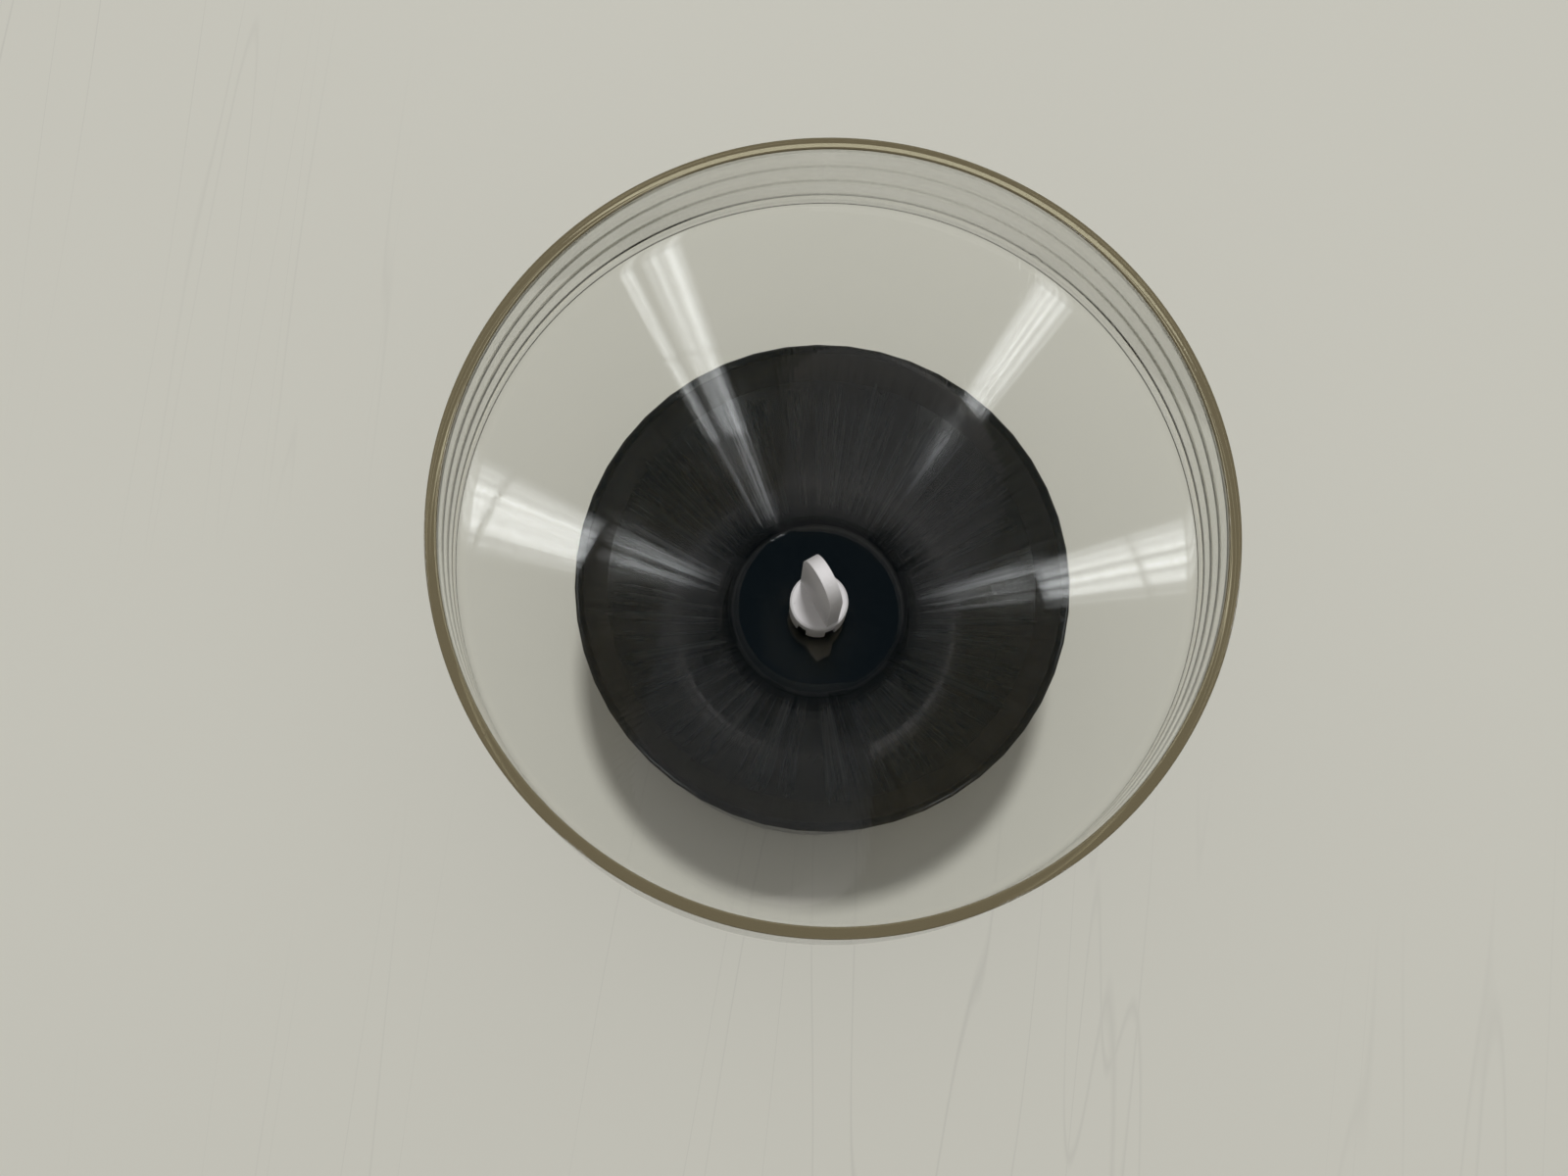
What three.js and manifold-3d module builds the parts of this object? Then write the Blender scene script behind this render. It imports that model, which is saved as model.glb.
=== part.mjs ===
// Salad spinner, bowl and drive base: a clear conical bowl nests in a black base that holds a
// pull-cord drive. Millimetres, +Z up, origin on the table under the spindle.
import * as THREE from 'three';
import { mergeVertices } from 'three/addons/utils/BufferGeometryUtils.js';
import Module from 'manifold-3d';

const wasm = await Module();
wasm.setup();

// ---------------------------------------------------------------- driving dimensions

const roundFacets = 48; // facets round the bowl and the base
const midFacets = 32; // facets round the drum, the barrel and the white post
const smallFacets = 16; // facets round shafts, screws and feet
const gap = 0.3; // between pieces that touch
const runningGap = 0.1; // shaft to bush, on the radius

// Bowl
const bowlRadius = 130; // outside of the rim
const bowlHeight = 200; // table to rim
const bowlWall = 4;
const bandDepth = 56; // upright ribbed band below the rim
const ribCount = 4;
const ribProud = 0.4; // how far a rib swells out of the band
const rimRounding = 0.8;
const bowlFloorRadius = 32; // flat floor inside the cone
const chimneyGap = 2.2; // spindle to the collar that keeps the water in
const chimneyWall = 2.4;
const chimneyRise = 12;

// White drive post
const postHeight = 17.4; // skirt foot to cap
const postCap = 4.5;
const postSkirtWall = 1.7;
const postSkirtGap = 0.7; // collar to the inside of the skirt
const postHubGap = 0.6; // hub to the inside of the collar
const postHubRise = 1; // foot of the hub above the foot of the skirt
const postClearance = 2.6; // skirt foot above the bowl floor
const postBevel = 0.8;
const postTeeth = 6;
const postNotchWidth = 4;
const postNotchHeight = 10;
const tongueWidth = 20;
const tongueThickness = 5;
const tongueSides = 38; // straight sides of the tongue
const tongueCrown = 20; // rounded top of the tongue
const tongueAngle = -54.6; // degrees about +Z from +X

// Base
const lipHeight = 97; // table to the lip
const lipWidth = 1.1; // flat top of the lip
const lipFace = 6; // upright edge of the lip
const lipOverhang = 1.4;
const lipChamfer = 0.5;
const baseTaper = 5.2; // lip to foot, on the radius
const baseWall = 3;
const baseGroundGap = 2.5; // shell foot above the table
const seatDepth = 10.5; // rubber seat, measured down from the lip
const seatThickness = 2;
const seatLedge = 1.5; // top of the seat's pocket below the lip
const seatBacking = 2; // funnel wall left behind the seat
const funnelGap = 0.8; // bowl cone to funnel
const funnelWall = 3;
const plateThickness = 3;
const plateHeight = 4; // underside of the bottom plate
const fixingInset = 16.8; // foot of the wall to the circle of the feet and screws
const footAngles = [45, 135, 225, 315]; // degrees about +Z, clear of the dock on +Y
const screwAngles = [20, 160, 200, 340];
const footRadius = 9;
const footRounding = 1.5;
const footStem = 3;
const footBarb = 1.3;
const footBarbHeight = 2.4;
const screwShank = 1.7;
const screwLength = 16;
const screwHead = 3.4;
const screwHeadHeight = 1.6;
const screwChamfer = 0.7;
const screwSlot = [4, 0.8, 0.9]; // length, width and depth of each slot of the cross
const screwPost = 4.5;

// Spindle, bushes and seals
const spindleRadius = 4;
const spindleChamfer = 0.5;
const spindleReach = 17; // bowl floor to the top of the spindle
const shoulderThickness = 1.6;
const washerThickness = 0.8;
const bushWall = 3;
const bossWall = 2.7;
const bossFillet = 1;
const lowerBushLength = 7;
const upperBushLength = 4.6;
const sealHeight = 2.2;
const sealLedge = 1.3; // seal narrower than the boss below it
const sealLip = 1.4; // thickness of the lip that wipes the spindle
const circlipThickness = 1;
const circlipWidth = 2.4; // spindle to the outside of the clip
const circlipGroove = 0.8; // depth of its groove, and the shaft left below it
const circlipMouth = 2.8;

// Cord drum, spring and ratchet, stacked up from the bottom plate
const barrelRadius = 31;
const barrelWall = 1;
const barrelHeight = 8.4;
const barrelMouth = 1.5; // drum tube to the hole in the barrel
const springTurns = 5;
const springSteps = 20; // flats in one turn
const springStrip = 0.8; // thickness of the spring strip
const springHeight = 6;
const drumRise = 1.3; // barrel to the lower flange
const drumFlange = 1.5;
const drumFlangeRadius = 24;
const drumGrooveRadius = 16.5;
const drumGrooveHeight = 5;
const drumTubeWall = 2;
const cordRadius = 1;
const cordLead = 18.19; // radius the cord leaves the drum at: 300 mm of cord turns it 945 degrees
const windingThickness = 3.8;
const ratchetTeeth = 16;
const ratchetTip = 12;
const ratchetRoot = 9.5;
const ratchetThickness = 2.8;
const ratchetPhase = 15; // degrees from +X to the first tooth tip
const pawlPivotRadius = 18.5;
const pawlLength = 11;
const pawlRestAngle = 131; // degrees from the pivot's outward line to the pawl's nose
const pawlEye = 2.2;
const pawlNose = 0.45;
const pinRadius = 1.3;
const pinSeat = 1.2; // depth of the pin's hole in the drum
const pinHead = 2.2;
const pinHeadHeight = 0.8;

// Pull handle and its dock
const dockWidth = 72;
const dockBelow = 12; // opening, measured down from the cord
const dockAbove = 20; // and up, with room for fingers
const dockDepth = 17.8; // foot of the wall to the inside of the dock's back
const dockWall = 1.7;
const handleLength = 56;
const handleHeight = 12;
const handleDepth = 11;
const handleBevel = 1.5;
const handleStandoff = 2; // dock's back to the handle
const handleBore = 1.4;
const knotRadius = 3;
const knotSquash = 0.7; // a pulled knot is flatter along the cord
const knotPocketDepth = 7;
const knotInset = 2.6; // pocket floor to the middle of the knot
const plugThickness = 1.6;
const plugInset = 0.2;
const eyeletBore = 1.6;
const eyeletTube = 1; // wall of the tube through the dock
const eyeletRadius = 4.2;
const eyeletFace = 1.2;
const eyeletRounding = 0.6;

// ---------------------------------------------------------------- derived places

const degree = Math.PI / 180;
const cut = 1; // a cutting solid reaches this far past the face it opens
const plateTop = plateHeight + plateThickness;
const barrelFoot = plateTop + gap;
const springFoot = barrelFoot + barrelWall + gap;
const drumFoot = barrelFoot + barrelHeight + drumRise;
const grooveFoot = drumFoot + drumFlange;
const cordLevel = grooveFoot + drumGrooveHeight / 2;
const grooveTop = grooveFoot + drumGrooveHeight;
const drumTop = grooveTop + drumFlange;
const ratchetFoot = drumTop + gap;
const ratchetTop = ratchetFoot + ratchetThickness;
const upperBushFoot = ratchetTop + 2 * gap;
const upperBushTop = upperBushFoot + upperBushLength;
const sealFoot = upperBushTop + gap;
const hubTop = sealFoot + sealHeight + gap;
const hubUnderside = hubTop - funnelWall;
const bowlUnderside = hubTop + funnelGap;
const bowlFloorHeight = bowlUnderside + bowlWall;

const bushRadius = spindleRadius + bushWall;
const bossBore = bushRadius + gap;
const bossRadius = bossBore + bossWall;
const sealRadius = bossRadius - sealLedge;
const lowerBossTop = plateTop + lowerBushLength;
const spindleFoot = plateHeight + gap;
const spindleTop = bowlFloorHeight + spindleReach;
const hexFlats = 1.5 * spindleRadius;
const shoulderRadius = 2 * spindleRadius;
const circlipRadius = spindleRadius + circlipWidth;
const shoulderFoot = lowerBossTop + washerThickness + gap;
const drumBore = bossRadius + gap;
const drumTube = drumBore + drumTubeWall;

const chimneyBore = spindleRadius + chimneyGap;
const chimneyRadius = chimneyBore + chimneyWall;
const postFoot = bowlFloorHeight + postClearance;
const postTop = postFoot + postHeight;
const hexStart = bowlFloorHeight + postClearance - gap;
const postSkirtBore = chimneyRadius + postSkirtGap;
const postRadius = postSkirtBore + postSkirtWall;

const rimInner = bowlRadius - bowlWall;
const bandFoot = bowlHeight - bandDepth;
const coneAngle = Math.atan2(bandFoot - bowlFloorHeight, rimInner - bowlFloorRadius);
const seatOffset = bowlWall + gap; // the seat's face, from the inside of the cone
const seatBack = seatOffset + seatThickness + gap;
const funnelOffset = bowlWall + funnelGap;
const funnelBack = seatBack + seatBacking;
const seatTop = lipHeight - seatLedge;
const seatFoot = lipHeight - seatDepth;

const lipRadius = coneRadius(lipHeight, seatOffset) + lipWidth;
const wallTop = lipHeight - lipFace - cut;
const wallTopRadius = lipRadius - lipOverhang;
const baseFootRadius = lipRadius - baseTaper;
const fixingRadius = baseFootRadius - fixingInset;

const dockBack = baseFootRadius - dockDepth;
const handleBack = dockBack + handleStandoff;
const handleFront = handleBack + handleDepth;
const knotMiddle = handleFront - knotPocketDepth + knotInset;

// Radius at a height of the cone that lies a distance outside the inside of the bowl.
function coneRadius(height, offset) {
  return rimInner + offset / Math.sin(coneAngle) - (bandFoot - height) / Math.tan(coneAngle);
}

// Height at which that cone reaches a radius.
function coneHeight(radius, offset) {
  return bandFoot - (rimInner + offset / Math.sin(coneAngle) - radius) * Math.tan(coneAngle);
}

// ---------------------------------------------------------------- solids

// A closed three.js geometry as a solid that can be joined and cut.
function solidOf(geometry) {
  const bare = geometry.clone();
  bare.deleteAttribute('normal');
  bare.deleteAttribute('uv');
  const merged = mergeVertices(bare, 1e-4);
  const index = merged.index.array;
  const corners = [];
  for (let i = 0; i < index.length; i += 3) {
    const [a, b, c] = [index[i], index[i + 1], index[i + 2]];
    if (a !== b && b !== c && c !== a) corners.push(a, b, c);
  }
  return new wasm.Manifold(new wasm.Mesh({
    numProp: 3,
    vertProperties: new Float32Array(merged.attributes.position.array),
    triVerts: new Uint32Array(corners),
  }));
}

// A solid as a named mesh with a material of its own.
function piece(name, solid, finish) {
  const mesh = solid.getMesh();
  const geometry = new THREE.BufferGeometry();
  geometry.setAttribute('position', new THREE.BufferAttribute(mesh.vertProperties, 3));
  geometry.setIndex(new THREE.BufferAttribute(mesh.triVerts, 1));
  geometry.computeVertexNormals();
  const part = new THREE.Mesh(geometry, new THREE.MeshStandardMaterial(finish));
  part.name = name;
  return part;
}

// A closed outline of [radius, height] points, anticlockwise, turned about the vertical axis.
function revolve(outline, facets) {
  const points = outline.map(([radius, height]) => new THREE.Vector2(radius, height));
  points.push(points[0].clone());
  return solidOf(new THREE.LatheGeometry(points, facets).rotateX(Math.PI / 2));
}

function disc(radius, foot, top, facets) {
  return revolve([[0, foot], [radius, foot], [radius, top], [0, top]], facets);
}

function ring(bore, radius, foot, top, facets) {
  return revolve([[bore, foot], [radius, foot], [radius, top], [bore, top]], facets);
}

// A box from its lowest to its highest corner.
function box(low, high) {
  const size = high.map((value, axis) => value - low[axis]);
  const middle = high.map((value, axis) => (value + low[axis]) / 2);
  return solidOf(new THREE.BoxGeometry(...size).translate(...middle));
}

// A flat outline of [x, y] points, raised from foot to top.
function plate(outline, foot, top) {
  const shape = new THREE.Shape(outline.map(([x, y]) => new THREE.Vector2(x, y)));
  const settings = { depth: top - foot, bevelEnabled: false };
  return solidOf(new THREE.ExtrudeGeometry(shape, settings).translate(0, 0, foot));
}

function hexagon(acrossFlats, foot, top) {
  const corner = acrossFlats / 2 / Math.cos(30 * degree);
  return disc(corner, foot, top, 6);
}

// Points along an arc, ends included.
function arc(centre, radiusX, radiusY, from, to, steps) {
  return Array.from({ length: steps + 1 }, (_, i) => {
    const angle = (from + ((to - from) * i) / steps) * degree;
    return [centre[0] + radiusX * Math.cos(angle), centre[1] + radiusY * Math.sin(angle)];
  });
}

// A turned piece lying along +Y, its own axis through (x, z).
function alongY(solid, y, height) {
  return solid.rotate([-90, 0, 0]).translate([0, y, height]);
}

// ---------------------------------------------------------------- finishes

const clearPlastic = { color: 0xe4e6df, roughness: 0.06, metalness: 0, transparent: true, opacity: 0.35 };
const blackPlastic = { color: 0x0d1013, roughness: 0.18, metalness: 0 };
const whitePlastic = { color: 0xe6e3e6, roughness: 0.45, metalness: 0 };
const naturalPlastic = { color: 0xd9d2bf, roughness: 0.5, metalness: 0 };
const rubber = { color: 0x18191a, roughness: 0.85, metalness: 0 };
const steel = { color: 0xb4b6b8, roughness: 0.3, metalness: 1 };
const bronze = { color: 0xa9793f, roughness: 0.4, metalness: 1 };
const cordFibre = { color: 0xcfc9b8, roughness: 0.9, metalness: 0 };

// ---------------------------------------------------------------- bowl

// Outside of the band, from its foot to the rim, which swells gently into each rib.
function ribbedBand(foot) {
  const pitch = (bowlHeight - rimRounding - foot) / ribCount;
  const stepsPerRib = 4;
  return Array.from({ length: ribCount * stepsPerRib + 1 }, (_, i) => {
    const along = i / stepsPerRib;
    const swell = (ribProud * (1 - Math.cos(2 * Math.PI * along))) / 2;
    return [bowlRadius + swell, foot + pitch * along];
  });
}

function bowl() {
  const bandOutsideFoot = coneHeight(bowlRadius, bowlWall);
  const outline = [
    [chimneyBore, bowlUnderside],
    [coneRadius(bowlUnderside, bowlWall), bowlUnderside],
    ...ribbedBand(bandOutsideFoot),
    [bowlRadius - rimRounding, bowlHeight],
    [rimInner + rimRounding, bowlHeight],
    [rimInner, bowlHeight - rimRounding],
    [rimInner, bandFoot],
    [bowlFloorRadius, bowlFloorHeight],
    [chimneyRadius, bowlFloorHeight],
    [chimneyRadius, bowlFloorHeight + chimneyRise],
    [chimneyBore, bowlFloorHeight + chimneyRise],
  ];
  return piece('bowl', revolve(outline, roundFacets), clearPlastic);
}

function bowlSeal() {
  const foot = bowlUnderside + gap;
  const solid = ring(
    spindleRadius + runningGap, chimneyBore - gap, foot, foot + bowlWall + chimneyWall / 2, smallFacets);
  return piece('bowl_seal', solid, rubber);
}

// ---------------------------------------------------------------- white drive post

function postTongue() {
  const half = tongueWidth / 2;
  const outline = [[-half, 0], [half, 0], ...arc([0, tongueSides], half, tongueCrown, 0, 180, 16)];
  const upright = plate(outline, -tongueThickness / 2, tongueThickness / 2).rotate([90, 0, 0]);
  return upright.rotate([0, 0, tongueAngle]).translate([0, 0, postTop - cut]);
}

function drivePost() {
  const ceiling = postTop - postCap;
  const hubRadius = chimneyBore - postHubGap;
  let solid = revolve([
    [0, postFoot + postHubRise],
    [hubRadius, postFoot + postHubRise],
    [hubRadius, ceiling],
    [postSkirtBore, ceiling],
    [postSkirtBore, postFoot],
    [postRadius, postFoot],
    [postRadius, postTop - postBevel],
    [postRadius - postBevel, postTop],
    [0, postTop],
  ], midFacets);
  for (let tooth = 0; tooth < postTeeth; tooth += 1) {
    const notch = box(
      [postSkirtBore - cut, -postNotchWidth / 2, postFoot - cut],
      [postRadius + cut, postNotchWidth / 2, postFoot + postNotchHeight]);
    solid = solid.subtract(notch.rotate([0, 0, (360 / postTeeth) * tooth]));
  }
  solid = solid.add(postTongue());
  solid = solid.subtract(hexagon(hexFlats + 2 * gap, postFoot, spindleTop + gap));
  return piece('drive_post', solid, whitePlastic);
}

// ---------------------------------------------------------------- base

function dockCavity(clearance) {
  const around = dockWall + clearance;
  const halfWidth = dockWidth / 2 + around;
  return box(
    [-halfWidth, dockBack - around, cordLevel - dockBelow - around],
    [halfWidth, lipRadius + cut, cordLevel + dockAbove + around]);
}

// Everything above the middle of the funnel's wall.
function aboveFunnel() {
  const offset = (funnelOffset + funnelBack) / 2;
  return revolve([
    [0, hubTop - funnelWall / 2],
    [coneRadius(hubTop, offset), hubTop - funnelWall / 2],
    [coneRadius(lipHeight, offset), lipHeight],
    [0, lipHeight],
  ], roundFacets);
}

function baseShell() {
  const innerWall = wallTopRadius - baseWall;
  let solid = revolve([
    [baseFootRadius, baseGroundGap],
    [wallTopRadius, wallTop],
    [lipRadius, lipHeight - lipFace],
    [lipRadius, lipHeight - lipChamfer],
    [lipRadius - lipChamfer, lipHeight],
    [coneRadius(lipHeight, seatOffset), lipHeight],
    [coneRadius(seatTop, seatOffset), seatTop],
    [coneRadius(seatTop, seatBack), seatTop],
    [coneRadius(seatFoot - gap, seatBack), seatFoot - gap],
    [coneRadius(seatFoot - gap, funnelOffset), seatFoot - gap],
    [coneRadius(hubTop, funnelOffset), hubTop],
    [sealRadius + gap, hubTop],
    [sealRadius + gap, sealFoot - gap / 2],
    [bossBore, sealFoot - gap / 2],
    [bossBore, upperBushFoot],
    [bossRadius, upperBushFoot],
    [bossRadius + bossFillet, hubUnderside],
    [coneRadius(hubUnderside, funnelBack), hubUnderside],
    [innerWall, coneHeight(innerWall, funnelBack)],
    [baseFootRadius - baseWall, baseGroundGap],
  ], roundFacets);
  const funnelSpace = aboveFunnel();
  for (const angle of screwAngles) {
    const post = ring(screwShank + gap, screwPost, plateTop + gap, lipHeight, smallFacets)
      .translate([fixingRadius, 0, 0])
      .subtract(funnelSpace);
    solid = solid.add(post.rotate([0, 0, angle]));
  }
  return piece('base_shell', solid.subtract(dockCavity(gap)), blackPlastic);
}

function seatRing() {
  const top = seatTop - gap;
  const solid = revolve([
    [coneRadius(seatFoot, seatOffset), seatFoot],
    [coneRadius(seatFoot, seatOffset + seatThickness), seatFoot],
    [coneRadius(top, seatOffset + seatThickness), top],
    [coneRadius(top, seatOffset), top],
  ], roundFacets);
  return piece('seat_ring', solid, rubber);
}

function basePlate() {
  let solid = revolve([
    [bossBore, plateHeight],
    [baseFootRadius - baseWall - gap, plateHeight],
    [baseFootRadius - baseWall - gap, plateTop],
    [bossRadius, plateTop],
    [bossRadius, lowerBossTop],
    [bossBore, lowerBossTop],
  ], roundFacets);
  const hole = (radius) => disc(radius + gap, plateHeight - cut, plateTop + cut, smallFacets)
    .translate([fixingRadius, 0, 0]);
  for (const angle of footAngles) solid = solid.subtract(hole(footStem).rotate([0, 0, angle]));
  for (const angle of screwAngles) solid = solid.subtract(hole(screwShank).rotate([0, 0, angle]));
  return piece('base_plate', solid, blackPlastic);
}

// Moves a mesh modelled on the Z axis out to the fixings' pitch circle.
function onPitchCircle(mesh, angle) {
  mesh.position.set(fixingRadius * Math.cos(angle * degree), fixingRadius * Math.sin(angle * degree), 0);
  return mesh;
}

function rubberFoot(angle, index) {
  const shoulder = plateHeight - gap;
  const barb = plateTop + gap;
  const solid = revolve([
    [0, 0],
    [footRadius - footRounding, 0],
    [footRadius, footRounding],
    [footRadius, shoulder],
    [footStem, shoulder],
    [footStem, barb],
    [footStem + footBarb, barb],
    [footStem, barb + footBarbHeight],
    [0, barb + footBarbHeight],
  ], smallFacets);
  return onPitchCircle(piece(`rubber_foot_${index + 1}`, solid, rubber), angle);
}

function baseScrew(angle, index) {
  const headTop = plateHeight - gap;
  const headFoot = headTop - screwHeadHeight;
  const [slotLength, slotWidth, slotDepth] = screwSlot;
  let solid = revolve([
    [0, headFoot],
    [screwHead - screwChamfer, headFoot],
    [screwHead, headFoot + screwChamfer],
    [screwHead, headTop],
    [screwShank, headTop],
    [screwShank, headTop + screwLength - screwChamfer],
    [screwShank - screwChamfer, headTop + screwLength],
    [0, headTop + screwLength],
  ], smallFacets);
  const slot = box(
    [-slotLength / 2, -slotWidth / 2, headFoot - cut],
    [slotLength / 2, slotWidth / 2, headFoot + slotDepth]);
  solid = solid.subtract(slot).subtract(slot.rotate([0, 0, 90]));
  return onPitchCircle(piece(`base_screw_${index + 1}`, solid, steel), angle);
}

function bush(name, foot, top) {
  return piece(name, ring(spindleRadius + runningGap, bushRadius, foot, top, smallFacets), bronze);
}

function hubSeal() {
  const wiper = sealFoot + sealHeight / 2;
  const outline = [
    [spindleRadius + runningGap, sealFoot],
    [sealRadius, sealFoot],
    [sealRadius, sealFoot + sealHeight],
    [spindleRadius + 1.5 * sealLip, sealFoot + sealHeight],
    [spindleRadius + sealLip, wiper],
    [spindleRadius + runningGap, wiper],
  ];
  return piece('hub_seal', revolve(outline, smallFacets), rubber);
}

// ---------------------------------------------------------------- spindle and ratchet

function spindle() {
  const clipFoot = spindleFoot + circlipGroove;
  const clipTop = clipFoot + circlipThickness + gap;
  const shaft = revolve([
    [0, spindleFoot],
    [spindleRadius - spindleChamfer, spindleFoot],
    [spindleRadius, spindleFoot + spindleChamfer],
    [spindleRadius, clipFoot],
    [spindleRadius - circlipGroove, clipFoot],
    [spindleRadius - circlipGroove, clipTop],
    [spindleRadius, clipTop],
    [spindleRadius, shoulderFoot],
    [shoulderRadius, shoulderFoot],
    [shoulderRadius, shoulderFoot + shoulderThickness],
    [spindleRadius, shoulderFoot + shoulderThickness],
    [spindleRadius, hexStart],
    [0, hexStart],
  ], smallFacets);
  return piece('spindle', shaft.add(hexagon(hexFlats, hexStart - cut, spindleTop)), steel);
}

function circlip() {
  const foot = spindleFoot + circlipGroove + gap / 2;
  const top = foot + circlipThickness;
  const bore = spindleRadius - circlipGroove + gap;
  const mouth = box([0, -circlipMouth / 2, foot - cut], [circlipRadius + cut, circlipMouth / 2, top + cut]);
  return piece('circlip', ring(bore, circlipRadius, foot, top, smallFacets).subtract(mouth), steel);
}

function thrustWasher() {
  const foot = lowerBossTop + gap / 2;
  const solid = ring(spindleRadius + gap, shoulderRadius, foot, foot + washerThickness, smallFacets);
  return piece('thrust_washer', solid, naturalPlastic);
}

function ratchetWheel() {
  const pitch = 360 / ratchetTeeth;
  const outline = [];
  for (let tooth = 0; tooth < ratchetTeeth; tooth += 1) {
    const tip = (ratchetPhase + pitch * tooth) * degree;
    outline.push([ratchetRoot * Math.cos(tip), ratchetRoot * Math.sin(tip)]);
    outline.push([ratchetTip * Math.cos(tip), ratchetTip * Math.sin(tip)]);
  }
  const bore = disc(spindleRadius + gap, ratchetFoot - cut, ratchetTop + cut, smallFacets);
  return piece('ratchet_wheel', plate(outline, ratchetFoot, ratchetTop).subtract(bore), naturalPlastic);
}

// ---------------------------------------------------------------- cord drum and its pawls

function cordDrum() {
  const web = shoulderFoot + shoulderThickness + 2 * gap;
  let solid = revolve([
    [drumBore, springFoot],
    [drumTube, springFoot],
    [drumTube, drumFoot],
    [drumFlangeRadius, drumFoot],
    [drumFlangeRadius, grooveFoot],
    [drumGrooveRadius, grooveFoot],
    [drumGrooveRadius, grooveTop],
    [drumFlangeRadius, grooveTop],
    [drumFlangeRadius, drumTop],
    [spindleRadius + gap, drumTop],
    [spindleRadius + gap, web],
    [drumBore, web],
  ], midFacets);
  const pinHole = disc(pinRadius + gap, drumTop - pinSeat, drumTop + cut, smallFacets);
  for (const side of [1, -1]) solid = solid.subtract(pinHole.translate([side * pawlPivotRadius, 0, 0]));
  return piece('cord_drum', solid, naturalPlastic);
}

function cordWinding() {
  const bore = drumGrooveRadius + gap;
  const solid = ring(bore, bore + windingThickness, grooveFoot + gap, grooveTop - gap, midFacets);
  return piece('cord_winding', solid, cordFibre);
}

// A pawl about its own pivot, its nose pointing along +X.
function pawlSolid() {
  const outline = [
    ...arc([0, 0], pawlEye, pawlEye, 60, 300, 10),
    ...arc([pawlLength, 0], pawlNose, pawlNose, -80, 80, 4),
  ];
  const eye = disc(pinRadius + runningGap, ratchetFoot - cut, ratchetTop + cut, smallFacets);
  return plate(outline, ratchetFoot, ratchetTop).subtract(eye);
}

function pawl(index) {
  const mesh = piece(`pawl_${index + 1}`, pawlSolid(), steel);
  const side = 1 - 2 * index;
  mesh.position.set(side * pawlPivotRadius, 0, 0);
  mesh.rotation.z = pawlRestAngle * degree + index * Math.PI;
  return mesh;
}

function pawlPin(index) {
  const foot = drumTop - pinSeat + gap;
  const headFoot = ratchetTop + gap;
  const solid = revolve([
    [0, foot],
    [pinRadius, foot],
    [pinRadius, headFoot],
    [pinHead, headFoot],
    [pinHead, headFoot + pinHeadHeight],
    [0, headFoot + pinHeadHeight],
  ], smallFacets);
  const pin = piece(`pawl_pin_${index + 1}`, solid, steel);
  pin.position.x = (1 - 2 * index) * pawlPivotRadius;
  return pin;
}

// ---------------------------------------------------------------- recoil spring

function springBarrel() {
  const top = barrelFoot + barrelHeight;
  const mouth = drumTube + barrelMouth;
  const solid = revolve([
    [mouth, barrelFoot],
    [barrelRadius, barrelFoot],
    [barrelRadius, top],
    [barrelRadius - barrelWall, top],
    [barrelRadius - barrelWall, barrelFoot + barrelWall],
    [mouth, barrelFoot + barrelWall],
  ], midFacets);
  return piece('spring_barrel', solid, steel);
}

// A flat strip wound from the drum's tube out to the barrel's wall.
function recoilSpring() {
  const start = drumTube + gap;
  const end = barrelRadius - barrelWall - gap - springStrip;
  const steps = springTurns * springSteps;
  const inside = [];
  const outside = [];
  for (let step = 0; step <= steps; step += 1) {
    const share = step / steps;
    const angle = 2 * Math.PI * springTurns * share;
    const radius = start + (end - start) * share;
    inside.push([radius * Math.cos(angle), radius * Math.sin(angle)]);
    outside.unshift([(radius + springStrip) * Math.cos(angle), (radius + springStrip) * Math.sin(angle)]);
  }
  const solid = plate([...outside, ...inside].reverse(), springFoot, springFoot + springHeight);
  return piece('recoil_spring', solid, steel);
}

// ---------------------------------------------------------------- handle, dock and cord

function handleDock() {
  const insideWall = revolve([
    [0, baseGroundGap],
    [baseFootRadius, baseGroundGap],
    [wallTopRadius, wallTop],
    [0, wallTop],
  ], roundFacets);
  const opening = box(
    [-dockWidth / 2, dockBack, cordLevel - dockBelow],
    [dockWidth / 2, lipRadius + cut, cordLevel + dockAbove]);
  const eyeletHole = disc(eyeletBore + eyeletTube + gap, -dockWall - cut, cut, smallFacets);
  const solid = dockCavity(0)
    .intersect(insideWall)
    .subtract(opening)
    .subtract(alongY(eyeletHole, dockBack, cordLevel));
  return piece('handle_dock', solid, blackPlastic);
}

// A flanged tube pressed through the back of the dock, its mouth rounded for the cord.
function cordEyelet() {
  const back = -dockWall - gap;
  const face = gap + eyeletFace;
  const solid = revolve([
    [eyeletBore, back],
    [eyeletBore + eyeletTube, back],
    [eyeletBore + eyeletTube, gap],
    [eyeletRadius, gap],
    [eyeletRadius - eyeletRounding, face],
    [eyeletBore + eyeletRounding, face],
    [eyeletBore, face - eyeletRounding],
  ], smallFacets);
  return piece('cord_eyelet', alongY(solid, dockBack, cordLevel), steel);
}

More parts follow.
